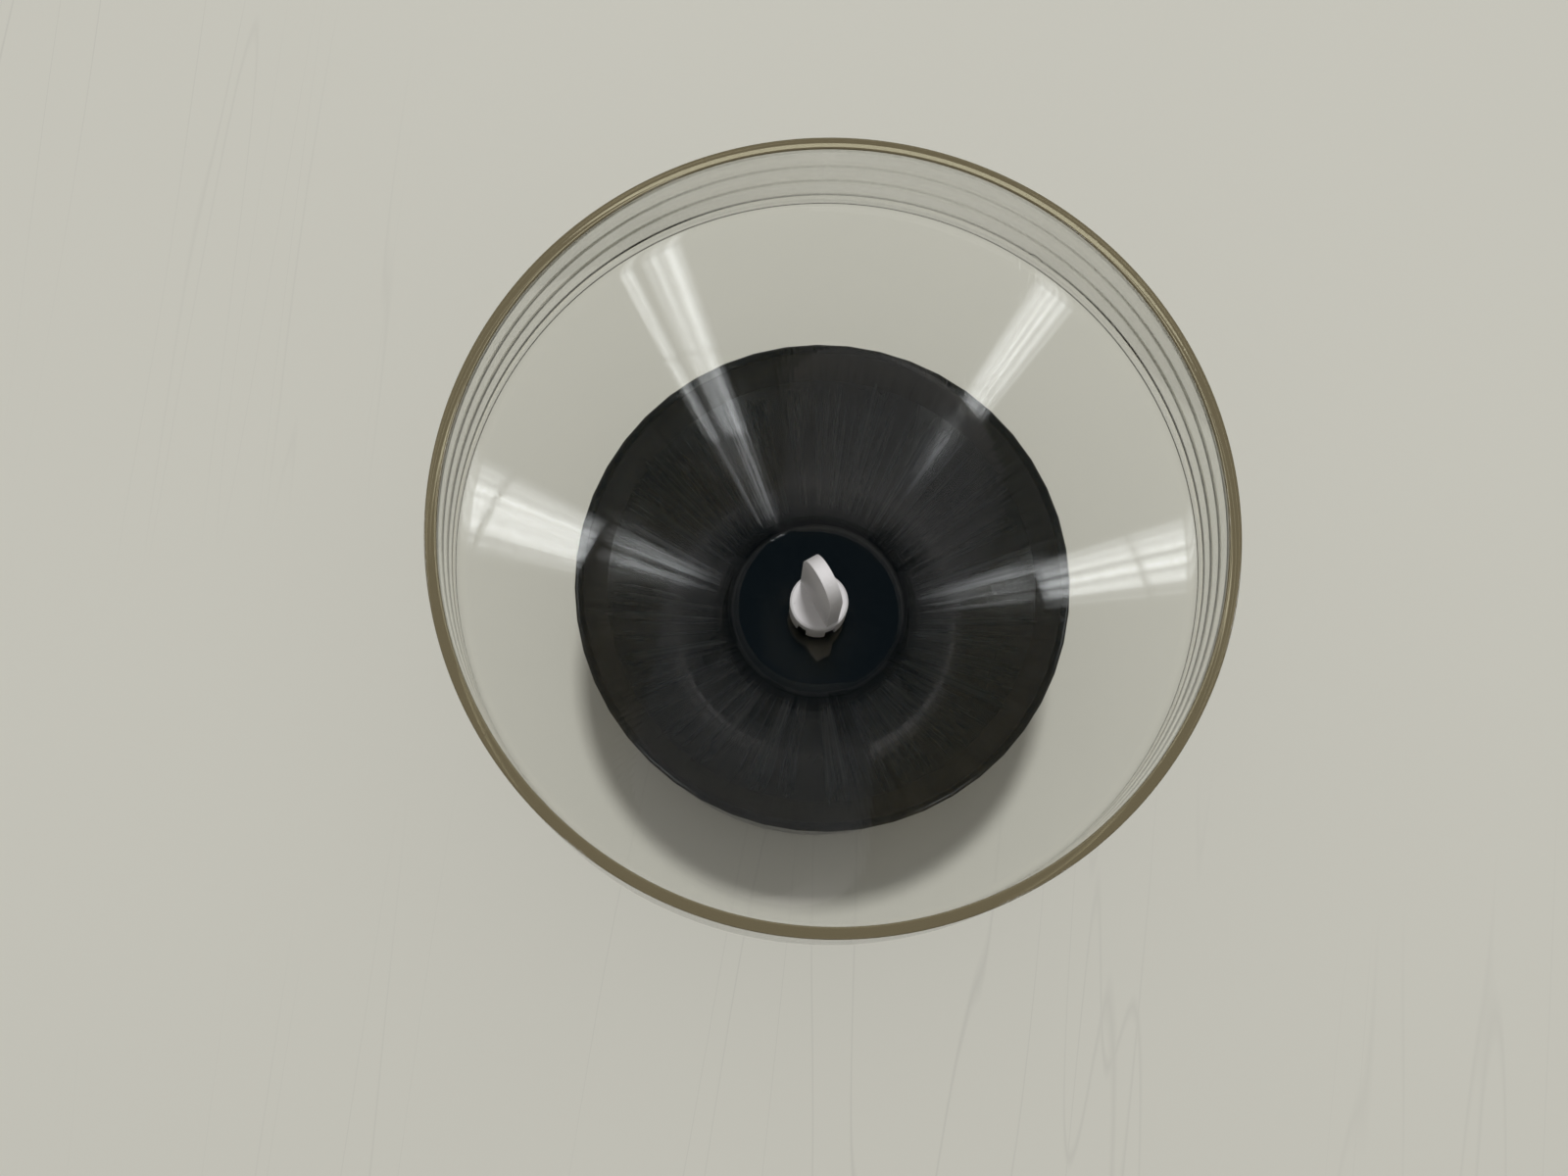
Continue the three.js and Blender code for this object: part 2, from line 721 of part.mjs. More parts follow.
function pullHandle() {
  const round = handleHeight / 2 - handleBevel;
  const reach = (handleLength - handleHeight) / 2;
  const outline = [
    ...arc([reach, 0], round, round, -90, 90, 8),
    ...arc([-reach, 0], round, round, 90, 270, 8),
  ];
  const shape = new THREE.Shape(outline.map(([x, y]) => new THREE.Vector2(x, y)));
  const settings = {
    depth: handleDepth - 2 * handleBevel,
    bevelThickness: handleBevel,
    bevelSize: handleBevel,
    bevelSegments: 3,
  };
  const bar = solidOf(new THREE.ExtrudeGeometry(shape, settings)).translate([0, 0, handleBevel]);
  const bore = disc(handleBore, -cut, handleDepth + cut, smallFacets);
  const pocket = disc(knotRadius + gap, handleDepth - knotPocketDepth, handleDepth + cut, smallFacets);
  const solid = bar.subtract(bore).subtract(pocket);
  return piece('pull_handle', alongY(solid, handleBack, cordLevel), blackPlastic);
}

function cordKnot() {
  const knot = solidOf(new THREE.SphereGeometry(knotRadius, 12, 8));
  return piece('cord_knot', knot.scale([1, knotSquash, 1]).translate([0, knotMiddle, cordLevel]), cordFibre);
}

function handlePlug() {
  const solid = disc(knotRadius, -plugThickness, 0, smallFacets);
  return piece('handle_plug', alongY(solid, handleFront - plugInset, cordLevel), blackPlastic);
}

// The cord from the winding to the knot, tangent to the drum where it leaves.
function pullCord() {
  const eyeletY = dockBack - dockWall;
  const swing = Math.acos(cordLead / eyeletY);
  const lead = new THREE.Vector3(cordLead * Math.sin(swing), cordLead * Math.cos(swing), cordLevel);
  const eyelet = new THREE.Vector3(0, eyeletY, cordLevel);
  const along = eyelet.clone().sub(lead).normalize();
  const clearRadius = drumGrooveRadius + windingThickness + 2 * gap + cordRadius;
  const start = lead.clone().addScaledVector(along, Math.sqrt(clearRadius ** 2 - cordLead ** 2) + gap);
  const bend = 3 * cordRadius;
  const path = new THREE.CatmullRomCurve3([
    start,
    start.clone().lerp(eyelet, 0.5),
    eyelet.clone().addScaledVector(along, -bend),
    eyelet.clone().add(new THREE.Vector3(0, bend, 0)),
    new THREE.Vector3(0, knotMiddle - knotSquash * knotRadius - gap, cordLevel),
  ]);
  const section = new THREE.Shape();
  section.absarc(0, 0, cordRadius, 0, 2 * Math.PI, false);
  const settings = { steps: 20, curveSegments: 4, extrudePath: path, bevelEnabled: false };
  return piece('pull_cord', solidOf(new THREE.ExtrudeGeometry(section, settings)), cordFibre);
}

// ---------------------------------------------------------------- assembly

function assembly(...parts) {
  const group = new THREE.Group();
  for (const part of parts) group.add(part);
  return group;
}

const baseAssembly = assembly(
  baseShell(),
  seatRing(),
  basePlate(),
  ...footAngles.map(rubberFoot),
  ...screwAngles.map(baseScrew),
  bush('lower_bush', plateTop, lowerBossTop),
  bush('upper_bush', upperBushFoot, upperBushTop),
  hubSeal(),
  springBarrel(),
  recoilSpring(),
  handleDock(),
  cordEyelet(),
  pullCord(),
);
const drumAssembly = assembly(cordDrum(), cordWinding(), pawlPin(0), pawlPin(1), pawl(0), pawl(1));
const spindleAssembly = assembly(spindle(), circlip(), thrustWasher(), ratchetWheel(), drivePost());
const handleAssembly = assembly(pullHandle(), cordKnot(), handlePlug());
const bowlAssembly = assembly(bowl(), bowlSeal());

const group = assembly(baseAssembly, drumAssembly, spindleAssembly, handleAssembly, bowlAssembly);

export default group;
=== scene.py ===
"""Salad spinner, bowl and drive base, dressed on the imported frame. Metres, +Z up."""
import math

import bpy
from mathutils import Matrix, Vector


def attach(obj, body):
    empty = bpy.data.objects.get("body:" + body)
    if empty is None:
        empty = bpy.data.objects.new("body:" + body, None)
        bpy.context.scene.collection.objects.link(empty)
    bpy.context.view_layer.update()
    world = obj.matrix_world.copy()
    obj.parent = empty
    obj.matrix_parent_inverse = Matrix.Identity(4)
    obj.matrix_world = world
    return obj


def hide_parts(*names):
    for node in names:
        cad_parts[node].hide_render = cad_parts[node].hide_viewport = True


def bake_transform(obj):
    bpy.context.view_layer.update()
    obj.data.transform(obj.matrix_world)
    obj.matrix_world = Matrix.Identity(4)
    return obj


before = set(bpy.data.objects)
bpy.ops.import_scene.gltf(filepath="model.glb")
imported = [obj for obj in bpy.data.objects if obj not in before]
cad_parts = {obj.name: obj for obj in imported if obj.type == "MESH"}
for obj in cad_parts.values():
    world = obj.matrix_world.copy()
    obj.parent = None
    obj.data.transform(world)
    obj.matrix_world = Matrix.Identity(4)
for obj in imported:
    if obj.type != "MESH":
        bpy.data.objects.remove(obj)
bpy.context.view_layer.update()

MM = 0.001

# Bowl, in millimetres
RIM_RADIUS = 130.0
RIM_INNER = 126.0
BOWL_HEIGHT = 200.0
BAND_FOOT = 144.0
RIB_COUNT = 4
RIB_STEPS = 14
RIB_PROUD = 0.2
RIB_FOOT_CUT = 0.7  # rounding where the band leaves the cone
RIM_FACE = 2.0  # plain edge above the top rib
FLOOR_RADIUS = 32.0
FLOOR_HEIGHT = 40.9
BOWL_WALL = 4.0
CHIMNEY_BORE = 6.2
CHIMNEY_RADIUS = 8.6
CHIMNEY_TOP = 52.9

BOWL_SEGMENTS = 240

# Pull cord, in millimetres
CORD_RADIUS = 1.0
CORD_LEVEL = 21.0
CORD_START = (15.4, 22.9)
EYELET_Y = 65.4
CORD_BEND = 3.0
CORD_END_Y = 73.3
CORD_SIDES = 16

# Camera
CAMERA_PLACE = (-0.0137, -0.1544, 0.9321)
CAMERA_PITCH = 10.276  # degrees from straight down towards +Y
CAMERA_ROLL = 6.393
CAMERA_LENS = 54.09
SENSOR_WIDTH = 36.0

# Stage, in metres
TABLE_HALF = 3.0
TABLE_NEAR = 0.3  # from here to the next distance the table's colour is painted dark in single reflections, a painted reflection of a dark room
TABLE_FAR = 0.45
AIM_HEIGHT = 0.1  # the height that the lamp points at

# Light, its directions in degrees from +X and up
OVERHEAD_AZIMUTH = 93.0
OVERHEAD_ELEVATION = 78.5
OVERHEAD_DISTANCE = 3.0
OVERHEAD_SIZE = 0.25
OVERHEAD_WATTS = 44.0
ROOM_COLOUR = (0.37, 0.365, 0.355)
CEILING_COLOUR = (0.009, 0.02, 0.028)
WALL_COLOUR = (0.018, 0.027, 0.03)
RIM_COLOUR = (0.5, 0.41, 0.22)
WINDOW_COLOUR = (6.0, 6.2, 6.5)
WINDOWS = ((311.0, 4.5), (318.5, 1.5), (231.0, 5.0), (8.0, 8.0), (177.0, 7.0))  # direction and half width


# ---------------------------------------------------------------- shapes


def rounded(corners, steps=5):
    """An outline of (radius, height, cut) corners, each cut back that far along both sides and rounded."""
    points = []
    count = len(corners)
    for index, (x, y, cut) in enumerate(corners):
        here = Vector((x, y))
        if not cut:
            points.append(here)
            continue
        before = Vector(corners[index - 1][:2])
        after = Vector(corners[(index + 1) % count][:2])
        start = here + (before - here).normalized() * cut
        end = here + (after - here).normalized() * cut
        for step in range(steps + 1):
            share = step / steps
            points.append(start * (1 - share) ** 2 + here * 2 * share * (1 - share) + end * share**2)
    return points


def turned(name, outline, segments):
    """A closed outline of (radius, height) points in millimetres, turned about the vertical axis."""
    count = len(outline)
    verts = []
    for segment in range(segments):
        angle = 2 * math.pi * segment / segments
        for radius, height in outline:
            verts.append((radius * MM * math.cos(angle), radius * MM * math.sin(angle), height * MM))
    faces = []
    for segment in range(segments):
        here = segment * count
        there = (segment + 1) % segments * count
        for index in range(count):
            follow = (index + 1) % count
            faces.append((here + index, there + index, there + follow, here + follow))
    mesh = bpy.data.meshes.new(name)
    mesh.from_pydata(verts, [], faces)
    mesh.shade_smooth()
    made = bpy.data.objects.new(name, mesh)
    bpy.context.scene.collection.objects.link(made)
    return made


def tube(name, path, radius, sides):
    """A round tube with closed ends along a path of points."""
    verts = []
    for index, point in enumerate(path):
        before = path[max(index - 1, 0)]
        after = path[min(index + 1, len(path) - 1)]
        along = (after - before).normalized()
        across = along.cross(Vector((0, 0, 1))).normalized()
        upward = across.cross(along)
        for side in range(sides):
            angle = 2 * math.pi * side / sides
            verts.append(point + radius * (math.cos(angle) * across + math.sin(angle) * upward))
    faces = []
    for index in range(len(path) - 1):
        here = index * sides
        there = here + sides
        for side in range(sides):
            follow = (side + 1) % sides
            faces.append((here + side, here + follow, there + follow, there + side))
    faces.append(tuple(range(sides))[::-1])
    faces.append(tuple(range((len(path) - 1) * sides, len(path) * sides)))
    mesh = bpy.data.meshes.new(name)
    mesh.from_pydata(verts, [], faces)
    mesh.shade_smooth()
    made = bpy.data.objects.new(name, mesh)
    bpy.context.scene.collection.objects.link(made)
    return made


def ribs():
    """Corners up the outside of the band, which swells gently into each rib."""
    slope = math.atan2(BAND_FOOT - FLOOR_HEIGHT, RIM_INNER - FLOOR_RADIUS)
    spread = BOWL_WALL / math.sin(slope) - BOWL_WALL
    foot = BAND_FOOT - spread * math.tan(slope)
    pitch = (BOWL_HEIGHT - RIM_FACE - foot) / RIB_COUNT
    points = []
    for step in range(RIB_COUNT * RIB_STEPS + 1):
        share = step / RIB_STEPS
        swell = RIB_PROUD * (1 - math.cos(2 * math.pi * share)) / 2
        points.append((RIM_RADIUS + swell, foot + pitch * share, 0))
    points[0] = (*points[0][:2], RIB_FOOT_CUT)
    return points


def clear_bowl():
    """The bowl, turned smooth, in place of the faceted CAD one."""
    underside = FLOOR_HEIGHT - BOWL_WALL
    slope = math.atan2(BAND_FOOT - FLOOR_HEIGHT, RIM_INNER - FLOOR_RADIUS)
    reach = BOWL_WALL / math.sin(slope) - BOWL_WALL / math.tan(slope)
    outline = rounded([
        (CHIMNEY_BORE, underside, 0.4),
        (FLOOR_RADIUS + reach, underside, 3),
        *ribs(),
        (RIM_RADIUS, BOWL_HEIGHT, 0.8),
        (RIM_INNER, BOWL_HEIGHT, 0.8),
        (RIM_INNER, BAND_FOOT, 5),
        (FLOOR_RADIUS, FLOOR_HEIGHT, 4),
        (CHIMNEY_RADIUS, FLOOR_HEIGHT, 1.2),
        (CHIMNEY_RADIUS, CHIMNEY_TOP, 0.6),
        (CHIMNEY_BORE, CHIMNEY_TOP, 0.6),
    ])
    made = turned("clear_bowl", outline, BOWL_SEGMENTS)
    even = made.modifiers.new("normals", "WEIGHTED_NORMAL")
    even.weight = 100
    made.visible_shadow = False
    made.data.materials.append(clear_plastic())
    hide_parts("bowl")
    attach(made, "clear_bowl")


def cord_path():
    """The cord's middle line, from the winding through the eyelet to the knot in the handle."""
    level = CORD_LEVEL * MM
    start = Vector((CORD_START[0] * MM, CORD_START[1] * MM, level))
    eyelet = Vector((0, EYELET_Y * MM, level))
    along = (eyelet - start).normalized()
    lead = eyelet - along * CORD_BEND * MM
    path = [start.lerp(lead, step / 16) for step in range(16)]
    leave = eyelet + Vector((0, CORD_BEND * MM, 0))
    for step in range(7):
        share = step / 6
        path.append(lead * (1 - share) ** 2 + eyelet * 2 * share * (1 - share) + leave * share**2)
    end = Vector((0, CORD_END_Y * MM, level))
    path += [leave.lerp(end, (step + 1) / 24) for step in range(24)]
    return path


def pull_cord():
    """The cord's free run near the eyelet, a smooth tube in place of the CAD cord."""
    made = tube("braided_cord", cord_path(), CORD_RADIUS * MM, CORD_SIDES)
    made.data.materials.append(braided_cord())
    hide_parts("pull_cord")
    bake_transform(made)


# ---------------------------------------------------------------- material tools


def add(tree, kind, settings=None, **inputs):
    """A node with its settings, and its inputs set to values or linked to sockets."""
    made = tree.nodes.new("ShaderNode" + kind)
    for name, value in (settings or {}).items():
        setattr(made, name, value)
    for name, value in inputs.items():
        socket = made.inputs[name.replace("_", " ")]
        if isinstance(value, bpy.types.NodeSocket):
            tree.links.new(value, socket)
        else:
            socket.default_value = value
    return made


def blank(name):
    """A new material, its tree and its main shader."""
    made = bpy.data.materials.new(name)
    made.use_nodes = True
    return made, made.node_tree, made.node_tree.nodes["Principled BSDF"]


def feed(tree, shader, **inputs):
    """Sets a shader's inputs to values or links them to sockets."""
    for name, value in inputs.items():
        socket = shader.inputs[name.replace("_", " ")]
        if isinstance(value, bpy.types.NodeSocket):
            tree.links.new(value, socket)
        else:
            socket.default_value = value


def place(tree):
    """Each point's place on its own object."""
    return add(tree, "TexCoord").outputs["Object"]


def noise(tree, scale, detail=4.0, stretch=None, turn=(0, 0, 0)):
    """Noise from 0 to 1, stretched and turned if asked."""
    where = place(tree)
    if stretch:
        where = add(tree, "Mapping", Vector=where, Scale=stretch, Rotation=turn).outputs[0]
    return add(tree, "TexNoise", Vector=where, Scale=scale, Detail=detail).outputs["Fac"]


def spread(tree, value, low, high, to_low=0.0, to_high=1.0):
    """A value's stretch from low to high, spread over a new range and held at its ends."""
    made = add(tree, "MapRange", Value=value, From_Min=low, From_Max=high, To_Min=to_low, To_Max=to_high)
    return made.outputs[0]


def sums(tree, operation, first, second):
    """One arithmetic step between two values or sockets."""
    made = tree.nodes.new("ShaderNodeMath")
    made.operation = operation
    for socket, value in zip(made.inputs, (first, second)):
        if isinstance(value, bpy.types.NodeSocket):
            tree.links.new(value, socket)
        else:
            socket.default_value = value
    return made.outputs[0]


def mixed(tree, share, first, second):
    """A colour between two, by a share."""
    made = tree.nodes.new("ShaderNodeMix")
    made.data_type = "RGBA"
    for socket, value in ((made.inputs[0], share), (made.inputs[6], first), (made.inputs[7], second)):
        if isinstance(value, bpy.types.NodeSocket):
            tree.links.new(value, socket)
        else:
            socket.default_value = value if isinstance(value, float) else (*value, 1.0)
    return made.outputs[2]


def bump(tree, height, strength, distance):
    """A normal bent by a height that is up to a distance in metres."""
    return add(tree, "Bump", None, Height=height, Strength=strength, Distance=distance).outputs[0]


def scratches(tree, scale, width):
    """Thin hairlines in three directions, 1 on a line and 0 between them."""
    found = 0.0
    for turn in (0.3, 1.4, 2.5):
        lines = noise(tree, scale, 2.0, (1.0, 0.04, 0.3), (0.4, 0.2, turn))
        away = sums(tree, "ABSOLUTE", sums(tree, "SUBTRACT", lines, 0.5), 0.0)
        line = spread(tree, away, 0.0, width, 1.0, 0.0)
        patch = spread(tree, noise(tree, scale * 0.15, 2.0), 0.5, 0.65)
        found = sums(tree, "MAXIMUM", found, sums(tree, "MULTIPLY", line, patch))
    return found


def outward(tree):
    """The direction from the spindle's axis outward at each point, and the distance from it."""
    flat = add(tree, "VectorMath", {"operation": "MULTIPLY"}, Vector=place(tree))
    flat.inputs[1].default_value = (1, 1, 0)
    length = add(tree, "VectorMath", {"operation": "LENGTH"}, Vector=flat.outputs[0]).outputs["Value"]
    unit = add(tree, "VectorMath", {"operation": "NORMALIZE"}, Vector=flat.outputs[0]).outputs[0]
    return unit, length


def rays(tree, fine, low, high):
    """Hairline rays that fan out from the axis, low between them and high on them."""
    unit, length = outward(tree)
    lift = add(tree, "CombineXYZ", None, Z=sums(tree, "MULTIPLY", length, 8.0)).outputs[0]
    where = add(tree, "VectorMath", {"operation": "SCALE"}, Vector=unit, Scale=fine).outputs[0]
    moved = tree.nodes.new("ShaderNodeVectorMath")
    tree.links.new(where, moved.inputs[0])
    tree.links.new(lift, moved.inputs[1])
    found = add(tree, "TexNoise", Vector=moved.outputs[0], Scale=1.0, Detail=5.0, Roughness=0.65)
    return spread(tree, found.outputs["Fac"], 0.35, 0.68, low, high)


# ---------------------------------------------------------------- materials


def ray_sheen(tree, shader, height):
    """The clear shader under a sheen low on the cone, which draws each light out into a fan."""
    around = add(tree, "Tangent", {"direction_type": "RADIAL", "axis": "Z"}).outputs[0]
    sheen = add(tree, "BsdfAnisotropic", None, Roughness=0.36, Anisotropy=0.92, Tangent=around)
    rising = spread(tree, height, 0.042, 0.05)
    falling = spread(tree, height, 0.082, 0.097, 1.0, 0.0)
    cone = sums(tree, "MULTIPLY", rising, falling)
    glazed = add(tree, "MixShader", Fac=sums(tree, "MULTIPLY", cone, rays(tree, 30.0, 0.02, 0.5)))
    tree.links.new(shader.outputs[0], glazed.inputs[1])
    tree.links.new(sheen.outputs[0], glazed.inputs[2])
    return glazed


def rim_painted_light(tree, shader, height):
    """The shader it is given, with an olive matt share painted along the rim: painted light in place of the
    olive glow that the thick clear edge shows by refraction.
    """
    # painted light: an olive matt colour on the rim's top edge, standing in for light refracted through it
    rim_light_paint = add(tree, "BsdfDiffuse", None, Color=(0.56, 0.47, 0.28, 1))
    edged = add(tree, "MixShader", Fac=spread(tree, height, 0.1975, 0.1992, 0.0, 0.27))
    tree.links.new(shader.outputs[0], edged.inputs[1])
    tree.links.new(rim_light_paint.outputs[0], edged.inputs[2])
    return edged


def clear_plastic():
    """Clear bowl: hard clear plastic with fine rays of wear that fan out from the post."""
    made, tree, shader = blank("clear_plastic")
    haze = noise(tree, 35.0, 5.0)
    tint = mixed(tree, haze, (0.985, 0.985, 0.975), (0.965, 0.97, 0.96))
    feed(tree, shader, Base_Color=tint, Roughness=rays(tree, 26.0, 0.008, 0.06))
    feed(tree, shader, IOR=1.5, Transmission_Weight=1.0)
    marks = sums(tree, "MULTIPLY", scratches(tree, 60.0, 0.004), -1.0)
    feed(tree, shader, Normal=bump(tree, marks, 0.05, 0.0002))
    height = add(tree, "SeparateXYZ", Vector=place(tree)).outputs["Z"]
    # the olive band along the rim is painted light
    whole = rim_painted_light(tree, ray_sheen(tree, shader, height), height)
    output = tree.nodes["Material Output"]
    tree.links.new(whole.outputs[0], output.inputs["Surface"])
    depth = add(tree, "VolumeAbsorption", None, Color=(0.62, 0.58, 0.3, 1), Density=12.0)
    tree.links.new(depth.outputs[0], output.inputs["Volume"])
    return made


def gloss_black():
    """Base shell: glossy black plastic with turning marks and hairline scratches."""
    made, tree, shader = blank("gloss_black")
    cloud = noise(tree, 22.0, 4.0)
    worn = scratches(tree, 45.0, 0.006)
    ground = mixed(tree, cloud, (0.0035, 0.0055, 0.0075), (0.006, 0.0075, 0.009))
    colour = mixed(tree, sums(tree, "MULTIPLY", worn, 0.35), ground, (0.05, 0.055, 0.06))
    even = spread(tree, cloud, 0.3, 0.7, 0.16, 0.26)
    roughness = sums(tree, "ADD", even, sums(tree, "MULTIPLY", worn, 0.25))
    feed(tree, shader, Base_Color=colour, Roughness=roughness, IOR=1.49, Anisotropic=0.6)
    feed(tree, shader, Tangent=add(tree, "Tangent", {"direction_type": "RADIAL", "axis": "Z"}).outputs[0])
    relief = sums(tree, "SUBTRACT", noise(tree, 900.0, 2.0), worn)
    feed(tree, shader, Normal=bump(tree, relief, 0.06, 0.0002))
    return made


def grained_black():
    """Moulded parts that are handled or hidden: black plastic with a fine spark-eroded grain."""
    made, tree, shader = blank("grained_black")
    cloud = noise(tree, 30.0, 4.0)
    grain = noise(tree, 2600.0, 3.0)
    colour = mixed(tree, cloud, (0.008, 0.009, 0.011), (0.014, 0.015, 0.017))
    roughness = spread(tree, cloud, 0.3, 0.7, 0.36, 0.5)
    feed(tree, shader, Base_Color=colour, Roughness=roughness, IOR=1.49)
    feed(tree, shader, Normal=bump(tree, grain, 0.25, 0.0002))
    return made


def satin_white():
    """Drive post: satin white plastic, a little dirty where hands and water leave marks."""
    made, tree, shader = blank("satin_white")
    cloud = noise(tree, 60.0, 4.0)
    dirt = spread(tree, noise(tree, 240.0, 5.0), 0.68, 0.78)
    ground = mixed(tree, cloud, (0.87, 0.85, 0.86), (0.82, 0.8, 0.805))
    colour = mixed(tree, sums(tree, "MULTIPLY", dirt, 0.45), ground, (0.36, 0.33, 0.31))
    feed(tree, shader, Base_Color=colour, Roughness=spread(tree, cloud, 0.3, 0.7, 0.34, 0.48), IOR=1.46)
    feed(tree, shader, Subsurface_Weight=0.12, Subsurface_Radius=(0.004, 0.004, 0.004), Subsurface_Scale=1.0)
    feed(tree, shader, Normal=bump(tree, noise(tree, 1400.0, 3.0), 0.12, 0.0002))
    return made


def natural_nylon():
    """Drum, ratchet wheel and washer: undyed nylon with a slight waxy depth."""
    made, tree, shader = blank("natural_nylon")
    cloud = noise(tree, 80.0, 4.0)
    colour = mixed(tree, cloud, (0.66, 0.61, 0.5), (0.56, 0.5, 0.39))
    feed(tree, shader, Base_Color=colour, Roughness=spread(tree, cloud, 0.3, 0.7, 0.4, 0.55), IOR=1.53)
    feed(tree, shader, Subsurface_Weight=0.15, Subsurface_Radius=(0.003, 0.002, 0.001), Subsurface_Scale=1.0)
    feed(tree, shader, Normal=bump(tree, noise(tree, 1800.0, 3.0), 0.15, 0.0002))
    return made


def black_rubber():
    """Seat, feet and seals: matt black rubber with dust in its pores."""
    made, tree, shader = blank("black_rubber")
    dust = spread(tree, noise(tree, 320.0, 5.0), 0.5, 0.8)
    colour = mixed(tree, sums(tree, "MULTIPLY", dust, 0.4), (0.011, 0.012, 0.012), (0.06, 0.058, 0.055))
    feed(tree, shader, Base_Color=colour, Roughness=spread(tree, dust, 0.0, 1.0, 0.62, 0.85), IOR=1.5)
    feed(tree, shader, Normal=bump(tree, noise(tree, 3000.0, 3.0), 0.4, 0.0002))
    return made


def turned_steel():
    """Spindle, screws, pins and spring: bright steel with fine turning marks and a few spots."""
    made, tree, shader = blank("turned_steel")
    rings = noise(tree, 700.0, 2.0, (0.05, 0.05, 4.0))
    spots = spread(tree, noise(tree, 500.0, 4.0), 0.66, 0.74)
    ground = mixed(tree, rings, (0.6, 0.61, 0.62), (0.46, 0.47, 0.48))
    colour = mixed(tree, sums(tree, "MULTIPLY", spots, 0.5), ground, (0.24, 0.2, 0.17))
    feed(tree, shader, Base_Color=colour, Metallic=1.0, Roughness=spread(tree, rings, 0.3, 0.7, 0.22, 0.4))
    feed(tree, shader, Normal=bump(tree, rings, 0.12, 0.0002))
    return made


def sintered_bronze():
    """Bushes: porous bronze, darker in its pores."""
    made, tree, shader = blank("sintered_bronze")
    pores = spread(tree, noise(tree, 2200.0, 4.0), 0.45, 0.6)
    colour = mixed(tree, pores, (0.24, 0.14, 0.06), (0.58, 0.37, 0.17))
    feed(tree, shader, Base_Color=colour, Metallic=1.0, Roughness=spread(tree, pores, 0.0, 1.0, 0.6, 0.36))
    feed(tree, shader, Normal=bump(tree, pores, 0.3, 0.0002))
    return made


def braided_cord():
    """Cord: cream polyester braid, its strands crossing at a slant, with painted shade in the grooves
    between them.
    """
    made, tree, shader = blank("braided_cord")
    strands = None
    for turn in (0.8, -0.8):
        where = add(tree, "Mapping", Vector=place(tree), Rotation=(0, 0, turn)).outputs[0]
        wave = add(tree, "TexWave", None, Vector=where, Scale=260.0, Distortion=0.6).outputs["Fac"]
        strands = wave if strands is None else sums(tree, "MAXIMUM", strands, wave)
    # the dark end of this colour is painted shade in the grooves between strands
    colour = mixed(tree, strands, (0.3, 0.27, 0.2), (0.66, 0.62, 0.5))
    feed(tree, shader, Base_Color=colour, Roughness=spread(tree, strands, 0.0, 1.0, 0.95, 0.75))
    feed(tree, shader, Sheen_Weight=0.2, Normal=bump(tree, strands, 0.5, 0.0003))
    return made


def painted_dark_reflection(tree):
    """1 for the far part of the table in a single reflection, where its colour is painted dark as a painted
    reflection of a dark room, and 0 otherwise.
    """
    depth = add(tree, "LightPath").outputs["Glossy Depth"]
    once = sums(tree, "MULTIPLY", spread(tree, depth, 0.0, 1.0), spread(tree, depth, 1.0, 2.0, 1.0, 0.0))
    return sums(tree, "MULTIPLY", once, spread(tree, outward(tree)[1], TABLE_NEAR, TABLE_FAR))


def table_top():
    """Pale warm grey table with faint scuffs, painted dark where a single reflection sees it."""
    made, tree, shader = blank("table_top")
    cloud = noise(tree, 1.6, 3.0)
    colour = mixed(tree, cloud, (0.70, 0.695, 0.625), (0.66, 0.65, 0.585))
    scuff = scratches(tree, 14.0, 0.002)
    colour = mixed(tree, sums(tree, "MULTIPLY", scuff, 0.2), colour, (0.36, 0.35, 0.33))
    feed(tree, shader, Roughness=0.75, Specular_IOR_Level=0.0)
    # painted reflection: the far table's colour is painted dark for single reflections
    feed(tree, shader, Base_Color=mixed(tree, painted_dark_reflection(tree), colour, (0.05, 0.07, 0.075)))
    return made


# ---------------------------------------------------------------- CAD nodes


def soften(node, edge, angle=32.0):
    """Rounds a CAD node's edges and smooths its facets with modifiers, leaving its mesh as it is."""
    for polygon in node.data.polygons:
        polygon.use_smooth = True
    weld = node.modifiers.new("weld", "WELD")
    weld.merge_threshold = 0.00001
    if edge:
        bevel = node.modifiers.new("edges", "BEVEL")
        bevel.width = edge * MM
        bevel.segments = 3
        bevel.limit_method = "ANGLE"
        bevel.angle_limit = math.radians(angle)
        bevel.use_clamp_overlap = True
        bevel.harden_normals = False
    split = node.modifiers.new("split", "EDGE_SPLIT")
    split.split_angle = math.radians(angle)


def dress_nodes():
    """Gives every CAD node that stays in view its material and its rounded edges."""
    steel = turned_steel()
    grained = grained_black()
    rubber = black_rubber()
    nylon = natural_nylon()
    fibre = braided_cord()
    bronze = sintered_bronze()
    finishes = {
        "base_shell": (gloss_black(), 0.4),
        "base_plate": (grained, 0.4),
        "handle_dock": (grained, 0.4),
        "pull_handle": (grained, 0.3),
        "handle_plug": (grained, 0.2),
        "drive_post": (satin_white(), 0.45),
        "cord_drum": (nylon, 0.2),
        "ratchet_wheel": (nylon, 0.15),
        "thrust_washer": (nylon, 0.1),
        "seat_ring": (rubber, 0.2),
        "hub_seal": (rubber, 0.0),
        "bowl_seal": (rubber, 0.2),
    }
    for name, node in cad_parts.items():
        if name.startswith("rubber_foot"):
            material, edge = rubber, 0.3
        elif name.endswith("_bush"):
            material, edge = bronze, 0.2
        elif name in ("cord_winding", "cord_knot"):
            material, edge = fibre, 0.3
        else:
            material, edge = finishes.get(name, (steel, 0.15))
        node.data.materials.clear()
        node.data.materials.append(material)
        soften(node, edge)


# ---------------------------------------------------------------- stage


def table():
    """A plain flat table top under the object."""
    mesh = bpy.data.meshes.new("table")
    corners = [(x * TABLE_HALF, y * TABLE_HALF, 0) for x, y in ((-1, -1), (1, -1), (1, 1), (-1, 1))]
    mesh.from_pydata(corners, [], [(0, 1, 2, 3)])
    made = bpy.data.objects.new("table", mesh)
    made.data.materials.append(table_top())
    bpy.context.scene.collection.objects.link(made)


